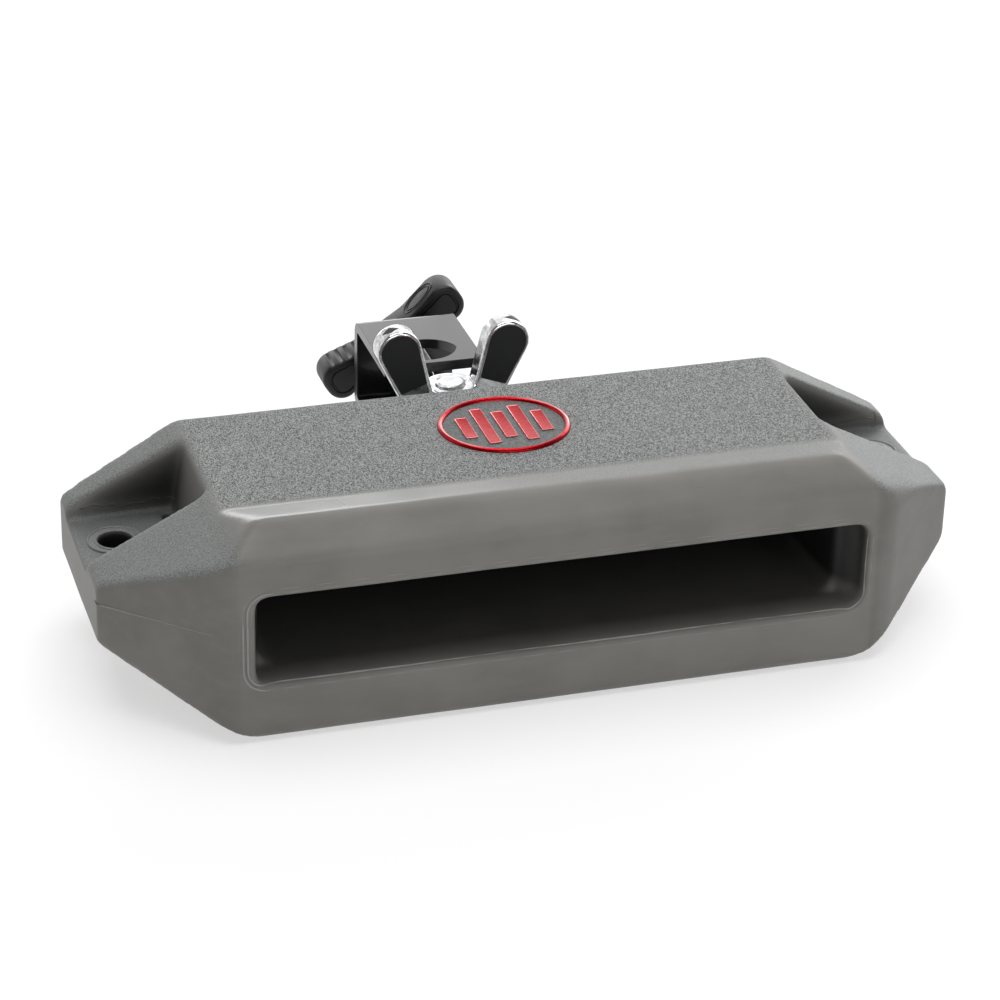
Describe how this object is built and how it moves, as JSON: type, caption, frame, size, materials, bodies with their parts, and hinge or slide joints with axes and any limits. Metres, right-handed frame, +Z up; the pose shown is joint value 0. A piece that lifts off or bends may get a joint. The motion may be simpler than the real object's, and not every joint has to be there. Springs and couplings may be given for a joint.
{
  "type": "woodblock",
  "caption": "Hollow moulded percussion block with a front slot, two sloped ears with holes, and a swivelling rod clamp with a wing nut and a T-handle screw behind it.",
  "frame": {"origin": "centre of the block's flat footprint, on the surface that it rests on", "axes": "+X along the block's length, -Y out of the slot, +Z up through the striking plateau"},
  "size_m": [0.23, 0.1766, 0.0595],
  "materials": {
    "block_plastic": "moulded, coarse on top",
    "bush_plastic": "moulded, fine",
    "badge_grey": "fine grain",
    "badge_red": "metallic red enamel",
    "zinc_steel": "zinc plated",
    "brass": "plain",
    "fibre": "pressed fibre",
    "black_steel": "black gloss enamel",
    "chrome": "polished",
    "pad_rubber": "fine matt",
    "handle_plastic": "satin black"
  },
  "bodies": {
    "block": {"body": "block_plastic", "left_ear_bush": "bush_plastic", "right_ear_bush": "bush_plastic", "badge_plate": "badge_grey", "badge_rim": "badge_red", "badge_motif": "badge_red", "mount_plate": "zinc_steel", "plate_screws": "zinc_steel", "plate_washers": "zinc_steel", "plate_inserts": "brass", "pivot_bolt": "zinc_steel", "fibre_washer": "fibre"},
    "bracket": {"clamp_bracket": "black_steel", "weld_nut": "zinc_steel"},
    "washers": {"flat_washer": "zinc_steel", "spring_washer": "zinc_steel"},
    "nut": {"wing_nut": "chrome", "left_wing_pads": "pad_rubber", "right_wing_pads": "pad_rubber"},
    "foot": {"screw_foot": "chrome"},
    "screw": {"clamp_screw": "chrome", "t_handle": "handle_plastic"}
  },
  "joints": [
    {"name": "bracket_swivel", "type": "hinge", "parent": "block", "child": "bracket", "pos_m": [0, 0.066, 0.0275], "axis": [0, 0, 1], "range_deg": [-70, 70]},
    {"name": "nut_rise", "type": "slide", "parent": "block", "child": "washers", "axis": [0, 0, 1], "range_m": [0, 0.0025]},
    {"name": "nut_turn", "type": "hinge", "parent": "washers", "child": "nut", "pos_m": [0, 0.066, 0.0368], "axis": [0, 0, 1], "range_deg": [0, 720]},
    {"name": "screw_feed", "type": "slide", "parent": "bracket", "child": "foot", "axis": [0, -1, 0], "range_m": [0, 0.006]},
    {"name": "screw_turn", "type": "hinge", "parent": "foot", "child": "screw", "pos_m": [0, 0.11, 0.0266], "axis": [0, -1, 0], "range_deg": [0, 1728]}
  ],
  "couplings": [
    {"joint": "nut_turn", "follows": "nut_rise", "rad_per_m": 5026.5},
    {"joint": "screw_turn", "follows": "screw_feed", "rad_per_m": 5026.5}
  ]
}
